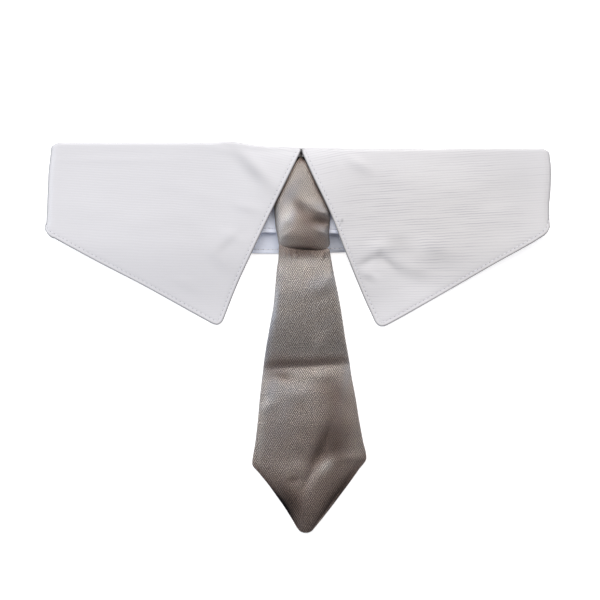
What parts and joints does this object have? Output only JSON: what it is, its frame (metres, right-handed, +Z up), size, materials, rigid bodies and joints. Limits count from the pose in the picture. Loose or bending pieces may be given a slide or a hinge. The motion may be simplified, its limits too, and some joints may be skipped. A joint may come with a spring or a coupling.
{
  "type": "detachable shirt collar with tie",
  "caption": "Detachable turn-down shirt collar, closed and laid flat, with a ready-made short tie sewn to its front.",
  "frame": {"origin": "under the middle of the collar's back, on the flat underside that lies on the surface", "axes": "+X across the collar to the viewer's right, +Y from the points and the tie's tip towards the rolled fold, +Z up from the surface"},
  "size_m": [0.2129, 0.1646, 0.0098],
  "materials": {
    "white_poplin": "white cotton poplin with a fine cross rib, pressed and edge-stitched",
    "taupe_satin": "taupe-grey satin with a soft silvery sheen"
  },
  "bodies": {
    "root": {"collar_leaf": "white_poplin", "collar_stand": "white_poplin", "tie_knot": "taupe_satin", "tie_blade": "taupe_satin"}
  },
  "joints": []
}
